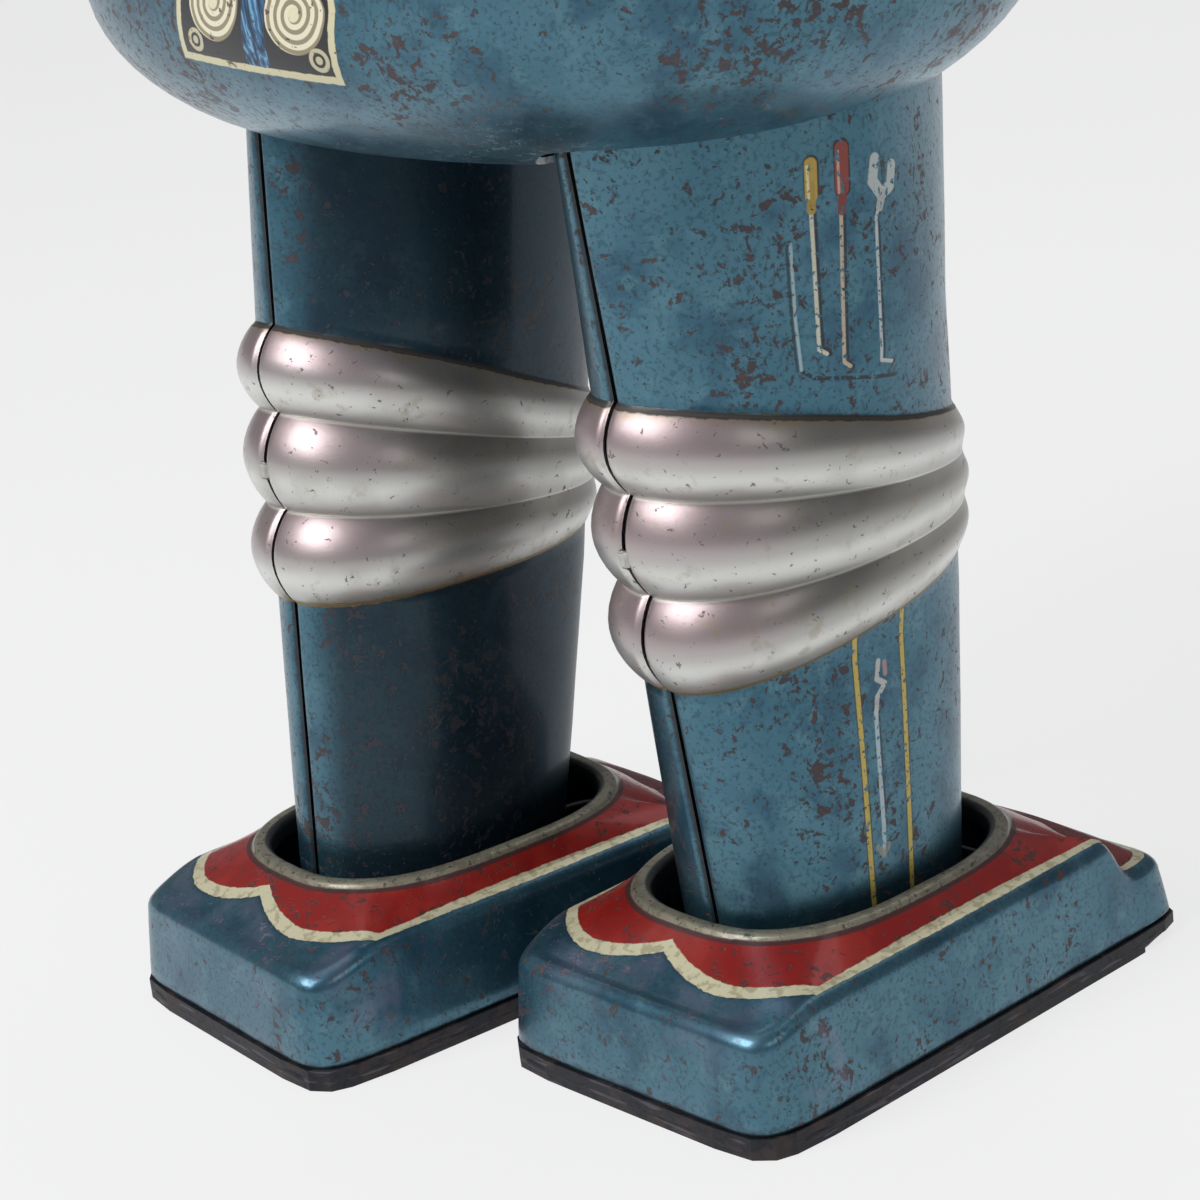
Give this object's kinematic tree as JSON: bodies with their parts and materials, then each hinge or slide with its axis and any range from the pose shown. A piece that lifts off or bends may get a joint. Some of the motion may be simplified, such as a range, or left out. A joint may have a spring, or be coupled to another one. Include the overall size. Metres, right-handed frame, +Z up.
{
  "type": "tin wind-up robot",
  "caption": "Clockwork walking robot of printed tinplate: bowl-shaped body, swinging two-piece legs with pleated knees, hollow shoes on rollers, side key.",
  "frame": {"origin": "on the ground, under the middle of the whole toy", "axes": "+Z up; the robot faces -Y; its own left is +X"},
  "size_m": [0.194, 0.1192, 0.2966],
  "materials": {
    "teal_tinplate": "printed teal tinplate under aged varnish, with rust specks",
    "black_hem": "dark rolled hem, rust-black and dull",
    "black_rubber": "black rubber tread",
    "red_enamel": "worn red print",
    "silver_lacquer": "pearly silver lacquer with tarnish",
    "amber_plastic": "clear amber moulding",
    "brass": "dull stamped brass",
    "steel": "plated steel with light tarnish"
  },
  "bodies": {
    "root": {"lower_body_shell": "teal_tinplate", "upper_body_shell": "teal_tinplate", "waist_hoop": "steel", "head_shell": "teal_tinplate", "left_eye_lens": "amber_plastic", "left_ear_disc": "red_enamel", "right_eye_lens": "amber_plastic", "right_ear_disc": "red_enamel", "mouth_grille": "silver_lacquer", "neck_collar": "silver_lacquer", "aerial": "steel", "left_movement_plate": "brass", "right_movement_plate": "brass", "movement_pillar_1": "steel", "movement_pillar_2": "steel", "movement_pillar_3": "steel", "movement_pillar_4": "steel", "movement_bracket": "steel", "hip_axle": "steel", "mainspring": "steel"},
    "left_leg": {"left_leg_outer_half": "teal_tinplate", "left_leg_inner_half": "teal_tinplate", "left_leg_strap": "steel"},
    "left_foot": {"left_shoe_shell": "teal_tinplate", "left_sole": "black_hem", "left_ankle_pin": "steel"},
    "left_front_wheel": {"left_front_roller": "black_rubber"},
    "left_rear_wheel": {"left_rear_roller": "black_rubber"},
    "left_arm": {"left_arm_outer_half": "teal_tinplate", "left_arm_inner_half": "teal_tinplate", "left_hand": "red_enamel", "left_shoulder_pin": "steel"},
    "right_leg": {"right_leg_outer_half": "teal_tinplate", "right_leg_inner_half": "teal_tinplate", "right_leg_strap": "steel"},
    "right_foot": {"right_shoe_shell": "teal_tinplate", "right_sole": "black_hem", "right_ankle_pin": "steel"},
    "right_front_wheel": {"right_front_roller": "black_rubber"},
    "right_rear_wheel": {"right_rear_roller": "black_rubber"},
    "right_arm": {"right_arm_outer_half": "teal_tinplate", "right_arm_inner_half": "teal_tinplate", "right_hand": "red_enamel", "right_shoulder_pin": "steel"},
    "key": {"winding_key": "steel", "winding_arbor": "steel", "ratchet_wheel": "steel"},
    "great_wheel": {"great_wheel": "brass", "click": "steel"},
    "crank": {"crankshaft": "steel", "crank_pinion": "steel", "crank_wheel": "brass", "left_crank_disc": "steel", "right_crank_disc": "steel"},
    "governor": {"governor_arbor": "steel", "governor_pinion": "steel", "governor_fly": "steel"},
    "stop": {"stop_rod": "steel"}
  },
  "joints": [
    {"name": "left_leg_swing", "type": "hinge", "parent": "root", "child": "left_leg", "pos_m": [0, 0, 0.1425], "axis": [1, 0, 0], "range_deg": [-10.14, 0]},
    {"name": "right_leg_swing", "type": "hinge", "parent": "root", "child": "right_leg", "pos_m": [0, 0, 0.1425], "axis": [1, 0, 0], "range_deg": [0, 10.14]},
    {"name": "left_ankle", "type": "hinge", "parent": "left_leg", "child": "left_foot", "pos_m": [0.019, 0.01209, 0.0062], "axis": [1, 0, 0], "range_deg": [0, 10.14]},
    {"name": "right_ankle", "type": "hinge", "parent": "right_leg", "child": "right_foot", "pos_m": [-0.019, -0.01209, 0.0062], "axis": [1, 0, 0], "range_deg": [-10.14, 0]},
    {"name": "left_front_roller_spin", "type": "hinge", "parent": "left_foot", "child": "left_front_wheel", "pos_m": [0.0318, -0.01387, 0.0052], "axis": [0.9987, 0.0518, 0], "continuous": true},
    {"name": "left_rear_roller_spin", "type": "hinge", "parent": "left_foot", "child": "left_rear_wheel", "pos_m": [0.02926, 0.03506, 0.0052], "axis": [0.9987, 0.0518, 0], "continuous": true},
    {"name": "right_front_roller_spin", "type": "hinge", "parent": "right_foot", "child": "right_front_wheel", "pos_m": [-0.0318, -0.03806, 0.0052], "axis": [0.9987, -0.0518, 0], "continuous": true},
    {"name": "right_rear_roller_spin", "type": "hinge", "parent": "right_foot", "child": "right_rear_wheel", "pos_m": [-0.02926, 0.01088, 0.0052], "axis": [0.9987, -0.0518, 0], "continuous": true},
    {"name": "left_shoulder", "type": "hinge", "parent": "root", "child": "left_arm", "pos_m": [0.085, 0, 0.212], "axis": [1, 0, 0], "range_deg": [-60, 20]},
    {"name": "right_shoulder", "type": "hinge", "parent": "root", "child": "right_arm", "pos_m": [-0.085, 0, 0.212], "axis": [1, 0, 0], "range_deg": [-60, 20]},
    {"name": "key_wind", "type": "hinge", "parent": "root", "child": "key", "pos_m": [0, 0.018, 0.16], "axis": [1, 0, 0], "continuous": true},
    {"name": "great_wheel_turn", "type": "hinge", "parent": "root", "child": "great_wheel", "pos_m": [0, 0.018, 0.16], "axis": [1, 0, 0], "range_deg": [-45, 0]},
    {"name": "crank_turn", "type": "hinge", "parent": "root", "child": "crank", "pos_m": [0, 0, 0.1725], "axis": [1, 0, 0], "range_deg": [0, 180]},
    {"name": "governor_spin", "type": "hinge", "parent": "root", "child": "governor", "pos_m": [0, -0.012, 0.176], "axis": [1, 0, 0], "range_deg": [-540, 0]},
    {"name": "stop_slide", "type": "slide", "parent": "root", "child": "stop", "axis": [1, 0, 0], "range_m": [0, 0.003]}
  ],
  "couplings": [
    {"joint": "right_leg_swing", "follows": "left_leg_swing", "ratio": -1},
    {"joint": "left_ankle", "follows": "left_leg_swing", "ratio": -1},
    {"joint": "right_ankle", "follows": "left_leg_swing", "ratio": 1},
    {"joint": "crank_turn", "follows": "left_leg_swing", "ratio": -17.751},
    {"joint": "great_wheel_turn", "follows": "left_leg_swing", "ratio": 4.4379},
    {"joint": "governor_spin", "follows": "left_leg_swing", "ratio": 53.254}
  ]
}
